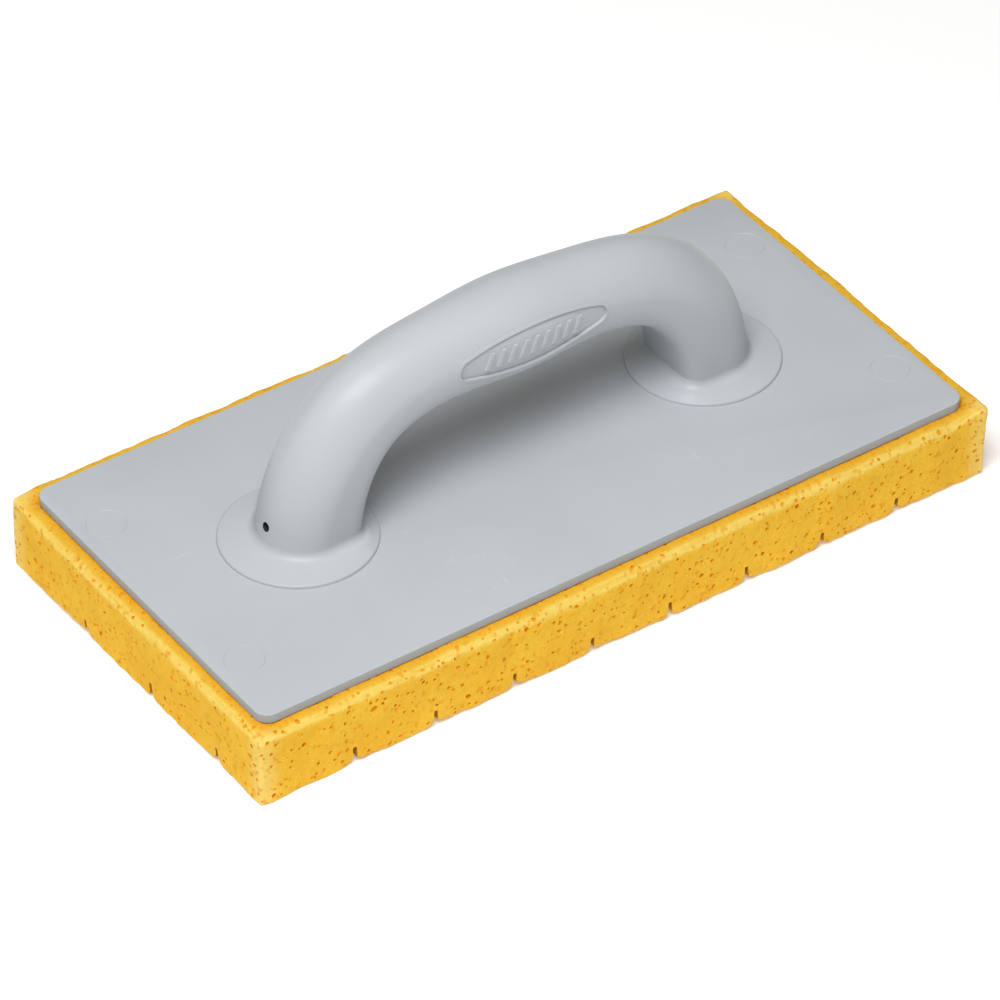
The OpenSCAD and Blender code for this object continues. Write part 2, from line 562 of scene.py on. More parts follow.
def shade(thing: bpy.types.Object, smooth_below: float = 35.0) -> None:
    """Shades a mesh smooth, apart from edges sharper than the given degrees."""
    thing.data.polygons.foreach_set("use_smooth", [True] * len(thing.data.polygons))
    thing.data.set_sharp_from_angle(angle=math.radians(smooth_below))


def loft(name: str, rings: np.ndarray) -> bpy.types.Object:
    """Skins closed rings of equal length and caps both ends.

    Args:
        name: The object's name.
        rings: Array of rings, points and coordinates.

    Returns:
        The closed object.
    """
    count, around = rings.shape[:2]
    faces = []
    for r in range(count - 1):
        for k in range(around):
            a, b = r * around + k, r * around + (k + 1) % around
            faces.append((a, b, b + around, a + around))
    faces.append(tuple(range(around)))
    faces.append(tuple(range((count - 1) * around, count * around)))
    return make_object(name, rings.reshape(-1, 3), faces)


def circle(centre: tuple[float, float], radius: float, z: float, count: int) -> np.ndarray:
    """Draws one level ring of points.

    Args:
        centre: Its centre.
        radius: Its radius.
        z: Its height.
        count: Points round it.

    Returns:
        The ring of points.
    """
    turn = np.arange(count) * 2 * math.pi / count
    x, y = centre[0] + radius * np.cos(turn), centre[1] + radius * np.sin(turn)
    return np.stack([x, y, np.full(count, z)], axis=1)


def lathe(name: str, centre: tuple[float, float], outline: list[tuple[float, float]],
          count: int = 96) -> bpy.types.Object:
    """Turns an outline of radius and height round an upright axis.

    Args:
        name: The object's name.
        centre: Place of the axis.
        outline: Radius and height of each ring, from one end to the other.
        count: Points round each ring.

    Returns:
        The closed object.
    """
    return loft(name, np.stack([circle(centre, r, z, count) for r, z in outline]))


def prism(name: str, outline: np.ndarray, start: float, end: float) -> bpy.types.Object:
    """Extrudes an upright outline along y.

    Args:
        name: The object's name.
        outline: Rows of x and z.
        start: The y that it starts at.
        end: The y that it ends at.

    Returns:
        The closed object.
    """
    rings = [np.stack([outline[:, 0], np.full(len(outline), y), outline[:, 1]], axis=1)
             for y in (start, end)]
    return loft(name, np.stack(rings))


class Cut(Enum):
    """What a tool does to a piece."""

    AWAY = "DIFFERENCE"
    ON = "UNION"
    COMMON = "INTERSECT"


def carve(piece: bpy.types.Object, tool: bpy.types.Object, how: Cut = Cut.AWAY) -> bpy.types.Object:
    """Combines a piece with a tool, applies the result and removes the tool.

    Args:
        piece: The closed object that is changed.
        tool: The closed object that changes it.
        how: What the tool does.

    Returns:
        The changed piece.
    """
    change = piece.modifiers.new("carve", "BOOLEAN")
    change.operation = how.value
    change.solver = "MANIFOLD"
    change.object = tool
    before, cutter = piece.data, tool.data
    graph = bpy.context.evaluated_depsgraph_get()
    after = bpy.data.meshes.new_from_object(piece.evaluated_get(graph))
    piece.modifiers.clear()
    piece.data = after
    bpy.data.objects.remove(tool)
    bpy.data.meshes.remove(before)
    bpy.data.meshes.remove(cutter)
    if not len(after.polygons):
        raise RuntimeError(f"nothing is left of {piece.name}")
    return piece


def coat(thing: bpy.types.Object, *materials: bpy.types.Material, index: int = 0) -> None:
    """Gives a mesh its list of materials, and all its faces one of them.

    Args:
        thing: The object.
        *materials: Its materials.
        index: Which of them its faces have.
    """
    thing.data.materials.clear()
    for material in materials:
        thing.data.materials.append(material)
    thing.data.polygons.foreach_set("material_index", [index] * len(thing.data.polygons))


def dress(thing: bpy.types.Object) -> None:
    """Attaches a new piece to the root body's empty."""
    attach(thing, ROOT)


# ----------------------------------------------------------------- bow handle


@dataclass
class BowHandle:
    """Hollow bow handle with two flanged feet, an oval recess on the grip and a vent hole."""

    plate_top: float
    flange_x: float
    slopes: Along = Along(
        (0.0, 0.15, 0.3, 0.42, 0.52, 0.62, 0.72, 0.85, 1.0),
        (0.0, 4.0, 8.6, 18.0, 31.0, 47.5, 60.0, 73.0, 84.0),
    )
    half_wid: Along = Along((0.0, 0.25, 0.45, 0.7, 1.0), (15.3, 14.1, 14.2, 14.8, 15.6), True)
    outer_deep: Along = Along((0.0, 0.3, 0.55, 0.8, 1.0), (13.9, 13.6, 15.0, 15.4, 14.8), True)
    outer_round: Along = Along((0.0, 0.3, 0.6, 1.0), (2.0, 1.95, 1.82, 2.0), True)
    inner_deep: Along = Along((0.0, 0.5, 1.0), (16.2, 13.4, 15.0), True)
    inner_square: Along = Along((0.0, 0.33, 0.67, 1.0), (3.2, 2.7, 4.0, 5.5), True)
    apex_up: float = 52.0 * MM
    foot_lean: float = 0.6 * MM
    shift: float = 0.5 * MM
    leg_stop_up: float = 7.5 * MM
    wall: float = 3.2 * MM
    floor_up: float = 4.0 * MM
    flange_r: float = 25.8 * MM
    flange_rim: float = 1.1 * MM
    flange_crown: float = 2.6 * MM
    flange_edge: float = 0.7 * MM
    fillet: float = 2.8 * MM
    spigot_r: float = 9.0 * MM
    spigot_deep: float = 1.2 * MM
    boss_r: float = 5.5 * MM
    boss_up: float = 16.0 * MM
    pilot_r: float = 2.4 * MM
    pilot_up: float = 15.5 * MM
    vent_r: float = 1.6 * MM
    vent_y: float = -0.8 * MM
    vent_skin: float = 1.0 * MM
    vent_up: float = 10.2 * MM
    vent_start: float = 5.0 * MM
    vent_run: float = 7.2 * MM
    vent_end: float = 25.0 * MM
    oval_len: float = 56.0 * MM
    oval_wid: float = 14.5 * MM
    oval_up: float = 50.2 * MM
    oval_shift: float = 1.5 * MM
    oval_deep: float = 0.8 * MM
    oval_fade: float = 0.5 * MM
    oval_front: float = -20.0 * MM
    oval_back: float = -5.0 * MM
    bead_wid: float = 0.9 * MM
    bead_high: float = 0.28 * MM
    ribs: int = 9
    rib_pitch: float = 4.2 * MM
    rib_wid: float = 1.3 * MM
    rib_len: float = 6.0 * MM
    rib_slant: float = 20.0
    stations: int = 110
    around: int = 160
    path_steps: int = 2001
    half_steps: int = 721
    smooth_below: float = 32.0

    @property
    def fillet_top(self) -> float:
        """Returns the height where the legs start to flare."""
        return self.plate_top + self.flange_crown + self.fillet

    def path(self, count: int) -> np.ndarray:
        """Walks down half of the bow's centreline.

        Args:
            count: Number of stations.

        Returns:
            Rows of x, z, slope in radians and share of the length, from the apex to the plate.
        """
        share = np.linspace(0.0, 1.0, self.path_steps)
        slope = np.radians(self.slopes.at(share))
        between = (slope[1:] + slope[:-1]) / 2
        run = np.concatenate([[0.0], np.cumsum(np.cos(between))])
        drop = np.concatenate([[0.0], np.cumsum(np.sin(between))])
        x = run * (self.flange_x - self.foot_lean) / run[-1]
        z = self.plate_top + self.apex_up * (1 - drop / drop[-1])
        slope = np.arctan2(-np.gradient(z), np.gradient(x))
        at = np.linspace(0.0, 1.0, count)
        return np.stack([np.interp(at, share, v) for v in (x, z, slope, share)], axis=1)

    def section(self, share: float, inset: float) -> np.ndarray:
        """Draws the bar's cross-section, round outside the bow and squarer inside it.

        Args:
            share: Share of the half length, from the apex.
            inset: How far the outline is moved inwards.

        Returns:
            Rows of sideways place and outward place, evenly spaced round the outline.
        """
        wid, outer, inner, bulge, square = (
            float(value.at(np.array([share]))[0])
            for value in (self.half_wid, self.outer_deep, self.inner_deep, self.outer_round,
                          self.inner_square)
        )
        wid, outer, inner = wid * MM - inset, outer * MM - inset, inner * MM - inset
        turn = np.linspace(0.0, math.pi, self.half_steps)
        halves = []
        for power, sideways, outwards in ((bulge, wid, outer), (square, -wid, -inner)):
            side = np.sign(np.cos(turn)) * np.abs(np.cos(turn)) ** (2 / power)
            half = np.stack([sideways * side, outwards * np.abs(np.sin(turn)) ** (2 / power)], axis=1)
            walked = np.concatenate([[0.0], np.cumsum(np.hypot(*np.diff(half, axis=0).T))])
            even = np.linspace(0.0, walked[-1], self.around // 2 + 1)[:-1]
            halves.append(np.stack([np.interp(even, walked, half[:, i]) for i in (0, 1)], axis=1))
        return np.concatenate(halves)

    def leg_rings(self, inset: float, base_z: float) -> list[np.ndarray]:
        """Places the sections of half the bow, and ends them level at the base.

        Args:
            inset: How far each section is moved inwards.
            base_z: Height of the last, level ring.

        Returns:
            Rings of x, y and z, from the apex down.
        """
        rings = []
        for x, z, slope, share in self.path(self.stations):
            if z < self.plate_top + self.leg_stop_up:
                break
            outline = self.section(share, inset)
            out_x, out_z = math.sin(slope), math.cos(slope)
            rings.append(np.stack(
                [x + outline[:, 1] * out_x, outline[:, 0], z + outline[:, 1] * out_z], axis=1
            ))
            down = np.array([math.cos(slope), 0.0, -math.sin(slope)])
        drop = (rings[-1][:, 2] - base_z) / -down[2]
        rings.append(rings[-1] + drop[:, None] * down)
        return rings

    def foot_rings(self, contour: np.ndarray) -> list[np.ndarray]:
        """Flares the leg into its round flange and closes it with the spigot.

        Args:
            contour: The leg's level ring where its fillet starts.

        Returns:
            The rings below that one.
        """
        rings = []
        tangent = np.roll(contour, -1, axis=0) - np.roll(contour, 1, axis=0)
        outward = np.stack([tangent[:, 1], -tangent[:, 0]], axis=1)
        outward /= np.linalg.norm(outward, axis=1)[:, None]
        middle = contour[:, :2].mean(axis=0)
        if ((contour[:, :2] - middle) * outward).sum() < 0:
            outward = -outward
        for turn in np.radians((15, 30, 45, 60, 75, 90)):
            ring = contour.copy()
            ring[:, :2] += outward * self.fillet * (1 - math.cos(turn))
            ring[:, 2] -= self.fillet * math.sin(turn)
            rings.append(ring)
        inner = rings[-1]
        away = inner[:, :2] - np.array([self.flange_x, 0.0])
        away /= np.linalg.norm(away, axis=1)[:, None]

        def round_ring(radius: float, up: float) -> np.ndarray:
            """Returns the level ring of that radius round the flange's axis."""
            flat = np.array([self.flange_x, 0.0]) + away * radius
            return np.concatenate([flat, np.full((len(flat), 1), self.plate_top + up)], axis=1)

        edge = self.flange_edge
        brim = round_ring(self.flange_r - edge, self.flange_rim)
        for share in (0.2, 0.4, 0.6, 0.8, 0.95, 1.0):
            rings.append(inner + (brim - inner) * share)
        for turn in np.radians((30, 60, 90)):
            rings.append(round_ring(
                self.flange_r - edge * (1 - math.sin(turn)),
                self.flange_rim - edge * (1 - math.cos(turn)),
            ))
        rings.append(round_ring(self.flange_r, 0.0))
        rings.append(round_ring(self.spigot_r, 0.0))
        rings.append(round_ring(self.spigot_r, -self.spigot_deep))
        return rings

    def both_halves(self, name: str, half: list[np.ndarray]) -> bpy.types.Object:
        """Mirrors the rings of one half and skins the whole bar.

        Args:
            name: The object's name.
            half: Rings from the apex outwards.

        Returns:
            The closed bar.
        """
        mirrored = [ring * np.array([-1.0, 1.0, 1.0]) for ring in reversed(half[1:])]
        rings = np.stack(mirrored + half)
        on_foot = np.clip((self.fillet_top - rings[:, :, 2]) / self.fillet, 0, 1)
        rings[:, :, 0] += self.shift * (1 - on_foot)
        return loft(name, rings)

    def bar(self, name: str, inset: float, base_up: float) -> bpy.types.Object:
        """Returns the plain bar without feet, moved inwards, ending at a height over the plate."""
        return self.both_halves(name, self.leg_rings(inset, self.plate_top + base_up))

    def oval(self, grow: float) -> np.ndarray:
        """Draws the medallion's outline of four arcs.

        Args:
            grow: How far the outline is moved outwards.

        Returns:
            Rows of x and z.
        """
        end_r = self.oval_wid / 4
        end_x = self.oval_len / 2 - end_r
        side_r = (end_x**2 + (self.oval_wid / 2) ** 2 - end_r**2) / (self.oval_wid - 2 * end_r)
        side_y = side_r - self.oval_wid / 2
        meet = math.atan2(side_y, end_x)
        ends = np.linspace(-meet, meet, 24)
        sides = np.linspace(meet, math.pi - meet, 96)[1:-1]
        right = np.stack([end_x + (end_r + grow) * np.cos(ends), (end_r + grow) * np.sin(ends)], axis=1)
        top = np.stack([(side_r + grow) * np.cos(sides), (side_r + grow) * np.sin(sides) - side_y], axis=1)
        half = np.concatenate([right, top])
        return np.concatenate([half, -half]) + np.array([self.oval_shift, self.plate_top + self.oval_up])

    def cut_oval(self, body: bpy.types.Object) -> None:
        """Sinks the oval recess, leaves slanted ribs standing in it and adds a bead round it.

        Args:
            body: The solid handle.
        """
        front, back = self.oval_front, self.oval_back
        floor = self.bar("oval_floor", self.oval_deep, self.floor_up)
        floor.data.transform(Matrix.Translation((0.0, 0.0, self.oval_fade)))
        recess = carve(prism("oval_recess", self.oval(0.0), front, back), floor)
        height, half = self.plate_top + self.oval_up, (self.ribs - 1) / 2
        lean = math.tan(math.radians(self.rib_slant))
        for i in range(self.ribs):
            x = self.oval_shift + (i - half) * self.rib_pitch
            corners = np.array([(-1, -1), (1, -1), (1, 1), (-1, 1)]) / 2
            up = corners[:, 1] * self.rib_len
            outline = np.stack([x + corners[:, 0] * self.rib_wid + up * lean, height + up], axis=1)
            carve(recess, prism("rib", outline, front - MM, back + MM))
        bead = prism("oval_bead", self.oval(self.bead_wid), front, back)
        carve(bead, prism("oval_inside", self.oval(0.0), front - MM, back + MM))
        carve(bead, self.bar("bead_top", -self.bead_high, self.floor_up), Cut.COMMON)
        carve(body, bead, Cut.ON)
        carve(body, recess)

    def build(self, *materials: bpy.types.Material) -> bpy.types.Object:
        """Builds the handle.

        Args:
            *materials: Material of the plastic, and the near-black painted shade for the inside of the
                        vent.

        Returns:
            The finished handle.
        """
        half = self.leg_rings(0.0, self.fillet_top)
        body = self.both_halves("bow_handle", half + self.foot_rings(half[-1]))
        self.cut_oval(body)
        hollow = self.bar("hollow", self.wall, self.floor_up)
        boss = [(self.boss_r, self.plate_top), (self.boss_r, self.plate_top + self.boss_up)]
        pilot = [(self.pilot_r, self.plate_top - self.spigot_deep - MM),
                 (self.pilot_r, self.plate_top + self.pilot_up)]
        axes = [(-self.flange_x, 0.0), (self.flange_x, 0.0)]
        for axis in axes:
            carve(hollow, lathe("boss", axis, boss))
        carve(body, hollow)
        for axis in axes:
            carve(body, lathe("pilot", axis, pilot))
        coat(body, *materials)
        vent = self.vent()
        # Painted shade: the vent's bore takes the second, near-black material.
        coat(vent, *materials, index=1)
        carve(body, vent)
        shade(body, self.smooth_below)
        return body

    def vent(self) -> bpy.types.Object:
        """Makes the tool that cuts the vent: a wide bore behind the skin and a small hole in it.

        Returns:
            The tool.
        """
        wide, skin = 2 * self.vent_r, self.vent_run - self.vent_skin
        tool = lathe("vent", (0.0, 0.0), [(wide, 0.0), (wide, skin - MM / 2), (self.vent_r, skin),
                                          (self.vent_r, self.vent_end)], 48)
        place = (-self.flange_x - self.vent_start, self.vent_y, self.plate_top + self.vent_up)
        tool.data.transform(Matrix.Translation(place) @ Matrix.Rotation(math.radians(-90), 4, "Y"))
        return tool


# ----------------------------------------------------------------- base plate


@dataclass
class BasePlate:
    """Rigid moulded plate with round corners, soft edges and four ejector marks."""

    low: Vector
    high: Vector
    feet_x: float
    grow: tuple[float, float] = (0.6 * MM, 0.8 * MM)
    corner_r: float = 5.0 * MM
    edge_r: float = 0.35 * MM
    mark_r: float = 6.4 * MM
    mark_wid: float = 0.5 * MM
    mark_deep: float = 0.16 * MM
    mark_end_gap: float = 10.0 * MM
    mark_half_gap: float = 39.5 * MM
    spigot_r: float = 9.1 * MM
    spigot_deep: float = 1.3 * MM
    screw_r: float = 2.6 * MM
    sink_r: float = 4.8 * MM
    sink_deep: float = 2.4 * MM
    corner_steps: int = 14
    smooth_below: float = 30.0

    def outline(self, inset: float, z: float) -> np.ndarray:
        """Draws the plate's rounded rectangle, moved inwards.

        Args:
            inset: How far it is moved inwards.
            z: Its height.

        Returns:
            One ring of points.
        """
        half = np.array([self.high.x, self.high.y]) + np.array(self.grow) - self.corner_r
        turn = np.radians(np.linspace(0.0, 90.0, self.corner_steps))
        points = []
        for quarter, (sx, sy) in enumerate(((1, 1), (-1, 1), (-1, -1), (1, -1))):
            angle = turn + quarter * math.pi / 2
            radius = self.corner_r - inset
            x, y = sx * half[0] + radius * np.cos(angle), sy * half[1] + radius * np.sin(angle)
            points.append(np.stack([x, y, np.full(len(x), z)], axis=1))
        return np.concatenate(points)

    def build(self) -> bpy.types.Object:
        """Builds the plate.

        Returns:
            The finished plate.
        """
        low, high, r = self.low.z, self.high.z, self.edge_r
        rings = [self.outline(r / 2, low), self.outline(0.0, low + r / 2)]
        for turn in np.radians((0, 22.5, 45, 67.5, 90)):
            rings.append(self.outline(r * (1 - math.cos(turn)), high - r * (1 - math.sin(turn))))
        plate = loft("float_plate", np.stack(rings))
        mark_x = self.high.x - self.mark_end_gap
        for x in (-mark_x, mark_x):
            for y in (-self.mark_half_gap, self.mark_half_gap):
                carve(plate, self.groove((x, y)))
        for x in (-self.feet_x, self.feet_x):
            seat = [(self.spigot_r, high - self.spigot_deep), (self.spigot_r, high + MM)]
            sink = [(self.sink_r, low - 0.1 * MM), (self.screw_r, low + self.sink_deep),
                    (self.screw_r, high + MM)]
            carve(plate, lathe("spigot_seat", (x, 0.0), seat))
            carve(plate, lathe("screw_sink", (x, 0.0), sink))
        shade(plate, self.smooth_below)
        return plate

    def groove(self, centre: tuple[float, float]) -> bpy.types.Object:
        """Makes the ring-shaped tool that cuts one ejector mark.

        Args:
            centre: The mark's centre.

        Returns:
            The tool.
        """
        top, deep, half = self.high.z, self.mark_deep, self.mark_wid / 2
        tool = lathe("mark", centre, [(self.mark_r + half - deep, top - deep),
                                      (self.mark_r + half + deep, top + deep)])
        core = lathe("core", centre, [(self.mark_r - half + 2 * deep, top - 2 * deep),
                                      (self.mark_r - half - deep, top + 2 * deep)])
        return carve(tool, core)


# --------------------------------------------------------------------- sponge


@dataclass
class Swell:
    """Smooth random unevenness: a sum of sine waves in random directions."""

    seed: int
    shortest: float
    longest: float
    waves: int = 14

    def at(self, points: np.ndarray) -> np.ndarray:
        """Reads the unevenness.

        Args:
            points: Rows of x, y and z.

        Returns:
            About -1 to 1 for each point.
        """
        draw = np.random.default_rng(self.seed)
        total = np.zeros(len(points))
        for _ in range(self.waves):
            way = draw.normal(size=3)
            way *= 2 * math.pi / (np.linalg.norm(way) * draw.uniform(self.shortest, self.longest))
            total += np.sin(points @ way + draw.uniform(0.0, 2 * math.pi))
        return total / math.sqrt(self.waves)


@dataclass
class SpongeBlock:
    """Scored sponge block with rounded edges, open pores and slack lobes between its cuts."""

    low: Vector
    high: Vector
    plate_reach: Vector
    side_r: float = 0.8 * MM
    edge_r: float = 3.8 * MM
    crisp_r: float = 1.0 * MM
    foot_r: float = 0.8 * MM
    cell: float = 1.75 * MM
    rim_gap: float = 0.35 * MM
    smooth_below: float = 50.0
    seed: int = 11

    # The top edge is sharper at the back, on the right and at the corners.
    crisp_reach: float = 9.0 * MM
    crisp_gain: float = 2.2
    back_from: float = 0.8
    back_fade: float = 0.17
    right_from: float = 0.93
    right_fade: float = 0.05

    # Water cuts in the working face.
    cross_cuts: int = 8
    cross_pitch: float = 30.0 * MM
    long_cuts: int = 3
    long_pitch: float = 37.0 * MM
    long_offset: float = -9.0 * MM
    cut_deep: float = 6.6 * MM
    cut_mouth: float = 2.0 * MM
    cut_foot: float = 1.2 * MM
    cut_past: float = 5.0 * MM

    # Slack lobes between the cuts.
    lip_reach: float = 3.0 * MM
    lip_power: float = 1.2
    lip_share: tuple[float, float] = (0.75, 1.2)
    lip_lift: tuple[float, float] = (2.9 * MM, 1.5 * MM)
    lip_tuck: float = 0.2 * MM
    lobe_slant: float = 0.88 * MM
    lobe_lift: float = 0.9 * MM
    lobe_share: float = 0.35
    slow_share: float = 0.3
    slow_waves: tuple[float, float] = (14.0 * MM, 45.0 * MM)
    quick_share: float = 0.14
    quick_waves: tuple[float, float] = (4.0 * MM, 10.0 * MM)
    end_waves: tuple[float, float] = (40.0 * MM, 90.0 * MM)
    lift_reach: float = 8.0 * MM
    lift_most: float = 4.2 * MM

    # Strip beside the plate, and the outline seen from above.
    hug: float = 0.15 * MM
    back_rise: float = 0.8 * MM
    rise_run: float = 1.5 * MM
    rim_deep: float = 4.0 * MM
    rim_wave: float = 0.2 * MM
    rim_waves: tuple[float, float] = (5.0 * MM, 24.0 * MM)
    spread: float = 0.45 * MM
    end_skew: float = 0.6 * MM
    wander: float = 0.3 * MM
    wander_waves: tuple[float, float] = (8.0 * MM, 34.0 * MM)
    ripple: float = 0.12 * MM
    ripple_waves: tuple[float, float] = (3.0 * MM, 7.0 * MM)

    # Pores: one for each pore_area of open foam.
    pore_area: float = 24.0 * MM * MM
    pore_small: float = 0.34 * MM
    pore_large: float = 1.15 * MM
    pore_bias: tuple[float, float] = (1.3, 4.2)
    pore_stretch: tuple[float, float] = (1.0, 1.8)
    pore_sink: tuple[float, float] = (-0.45, 0.2)
    pore_gap: float = 0.1 * MM
    fine_ball_from: float = 0.42 * MM
    under_share: float = 0.45
    beside_share: float = 2.5
    beside_wid: float = 1.3 * MM
    bin_size: float = 4.0 * MM

    @property
    def half(self) -> np.ndarray:
        """Returns the block's half length and half width."""
        return np.array([self.high.x, self.high.y])

    def past_plate(self, points: np.ndarray) -> np.ndarray:
        """Returns how far points lie outside the plate's outline, less than 0 under it."""
        return (np.abs(points[:, :2]) - np.array([self.plate_reach.x, self.plate_reach.y])).max(axis=1)

    def lines(self, low: float, high: float, fixed: list[float]) -> np.ndarray:
        """Spaces grid lines evenly between the ones that have to be there.

        Args:
            low: Low end of the block.
            high: High end of the block.
            fixed: Places that need a line.

        Returns:
            The places of all the lines.
        """
        known = sorted({low, high, *fixed})
        filled = [known[0]]
        for start, end in zip(known, known[1:]):
            steps = max(1, round((end - start) / self.cell))
            filled.extend(start + (end - start) * k / steps for k in range(1, steps + 1))
        return np.array(filled)

    def grid_lines(self) -> list[np.ndarray]:
        """Places the grid lines along x, y and z, closer over edges, lips and the plate's rim.

        Returns:
            The lines along each axis.
        """
        arc = np.array([0.2, 0.42, 0.68, 1.0])
        grids = []
        for axis, places in enumerate(self.cut_places()):
            low, high = self.low[axis], self.high[axis]
            margin = high - self.plate_reach[axis]
            rim = [*(arc * self.side_r)[1::2], *(arc * self.edge_r), margin + self.rim_gap]
            fixed = [low + r for r in rim] + [high - r for r in rim]
            for lip in np.array([0.0, 0.3, 0.62, 1.0]) * self.lip_reach:
                fixed.extend(places + lip)
                fixed.extend(places - lip)
            grids.append(self.lines(low, high, fixed))
        low, high = self.low.z, self.high.z
        fixed = [*(low + arc * self.foot_r), *(high - arc * self.edge_r), low + self.cut_deep]
        grids.append(self.lines(low, high, fixed))
        return grids

    def lattice(self) -> tuple[np.ndarray, list]:
        """Lays a grid over all six faces of the block.

        Returns:
            The points, and the faces as corner numbers.
        """
        grid = self.grid_lines()
        xs, ys, zs = grid
        ends = [len(g) - 1 for g in grid]
        number: dict[tuple[int, int, int], int] = {}
        points: list[tuple[float, float, float]] = []

        def corner(i: int, j: int, k: int) -> int:
            """Numbers a grid corner, new or known.

            Args:
                i: Its line along x.
                j: Its line along y.
                k: Its line along z.

            Returns:
                Its number.
            """
            key = (i, j, k)
            if key not in number:
                number[key] = len(points)
                points.append((xs[i], ys[j], zs[k]))
            return number[key]

        faces = []
        for axis in range(3):
            u, v = (axis + 1) % 3, (axis + 2) % 3
            for side in (0, ends[axis]):
                for a in range(ends[u]):
                    for b in range(ends[v]):
                        around = []
                        for da, db in ((0, 0), (1, 0), (1, 1), (0, 1)):
                            place = [0, 0, 0]
                            place[axis], place[u], place[v] = side, a + da, b + db
                            around.append(corner(*place))
                        faces.append(tuple(around))
        return np.array(points), faces

    def rounded(self, points: np.ndarray) -> np.ndarray:
        """Rounds the block's upright, top and bottom edges.

        Args:
            points: Rows of points on the sharp block.

        Returns:
            The moved points.
        """
        out = points.copy()
        r = self.side_r
        inner = np.clip(out[:, :2], r - self.half, self.half - r)
        away = out[:, :2] - inner
        size = np.linalg.norm(away, axis=1)
        most = np.abs(away).max(axis=1)
        scale = np.where(size > 0, most / np.maximum(size, 1e-12), 1.0)
        away *= scale[:, None]
        out[:, :2] = inner + away
        size = np.linalg.norm(away, axis=1)
        room = self.half - r - np.abs(out[:, :2])
        axis = np.eye(2)[room.argmin(axis=1)] * np.sign(out[:, :2])
        outward = np.where(size[:, None] > 0, away / np.maximum(size, 1e-12)[:, None], axis)
        gap = np.where(size > 0, r - size, r + room.min(axis=1))
        crisp = self.crispness(points)
        top_r = self.edge_r + (self.crisp_r - self.edge_r) * crisp
        for level, radius, sign in ((self.high.z, top_r, 1.0), (self.low.z, self.foot_r, -1.0)):
            across = radius - gap
            up = sign * (out[:, 2] - level) + radius
            near = (across > 0) & (up > 0)
            length = np.hypot(across, up)
            shrink = np.maximum(across, up) / np.maximum(length, 1e-12)
            shift = np.where(near, across * (1 - shrink), 0.0)
            out[:, :2] -= outward * shift[:, None]
            out[:, 2] = np.where(near, level + sign * (up * shrink - radius), out[:, 2])
        return out

    def crispness(self, points: np.ndarray) -> np.ndarray:
        """Tells how sharp the top edge is: 0 in front and on the left, 1 at the back and right.

        Args:
            points: Rows of points on the sharp block.

        Returns:
            The sharpness at each point.
        """
        close = np.clip(1 - (self.half - np.abs(points[:, :2])) / self.crisp_reach, 0.0, 1.0)
        share = points[:, :2] / self.half
        corner = np.clip(close[:, 0] * close[:, 1] * self.crisp_gain, 0.0, 1.0)
        corner *= np.clip(1 + share[:, 1], 0.0, 1.0)
        back = np.clip((share[:, 1] - self.back_from) / self.back_fade, 0.0, 1.0)
        right = np.clip((share[:, 0] - self.right_from) / self.right_fade, 0.0, 1.0)
        return np.maximum.reduce([corner, back, right])

    def cut_places(self) -> tuple[np.ndarray, np.ndarray]:
        """Spaces the water cuts.

        Returns:
            The x of each cut across and the y of each cut along.
        """
        across = (np.arange(self.cross_cuts) - (self.cross_cuts - 1) / 2) * self.cross_pitch
        along = (np.arange(self.long_cuts) - (self.long_cuts - 1) / 2) * self.long_pitch
        return across, along + self.long_offset

    def relaxed(self, points: np.ndarray) -> np.ndarray:
        """Gives the block its slack lobes, wavy outline and soft unevenness.

        Args:
            points: Rows of points on the rounded block.

        Returns:
            The moved points.
        """
        out = points.copy()
        height = np.clip((points[:, 2] - self.low.z) / self.lift_reach, 0.0, 1.0)
        low_share = (1 - height) ** 2
        left_end = np.clip(-points[:, 0] / self.high.x, 0.0, 1.0) ** 4
        lift, tuck = self.lobes(points)
        slow = Swell(self.seed + 1, *self.slow_waves).at(points)
        quick = Swell(self.seed + 6, *self.quick_waves).at(points)
        lift += self.lobe_lift * (self.slow_share * (1 + slow) + self.quick_share * quick)
        lift += self.lobe_lift * left_end * Swell(self.seed + 7, *self.end_waves).at(points)
        out[:, 2] += np.clip(lift, 0.0, self.lift_most) * low_share

        past = self.past_plate(points)
        rim = np.clip(1 - (self.high.z - points[:, 2]) / self.rim_deep, 0.0, 1.0)
        crown = self.hug + self.rim_wave * Swell(self.seed + 2, *self.rim_waves).at(points)
        crown += self.back_rise * self.crispness(points) * np.clip(past / self.rise_run, 0.0, 1.0)
        out[:, 2] += np.where(past > 0, rim * crown, 0.0)

        away = points[:, :2] - np.clip(points[:, :2], self.side_r - self.half, self.half - self.side_r)
        outward = away / np.maximum(np.linalg.norm(away, axis=1), 1e-9)[:, None]
        push = self.spread * (1 + outward[:, 1].clip(0) + outward[:, 0].clip(0))
        push -= self.lip_tuck * tuck * low_share
        push += self.wander * Swell(self.seed + 3, *self.wander_waves).at(points)
        push += self.ripple * Swell(self.seed + 4, *self.ripple_waves).at(points)
        out[:, 0] -= self.end_skew * left_end * points[:, 1] / self.half[1]
        out[:, :2] += outward * push[:, None]
        return out

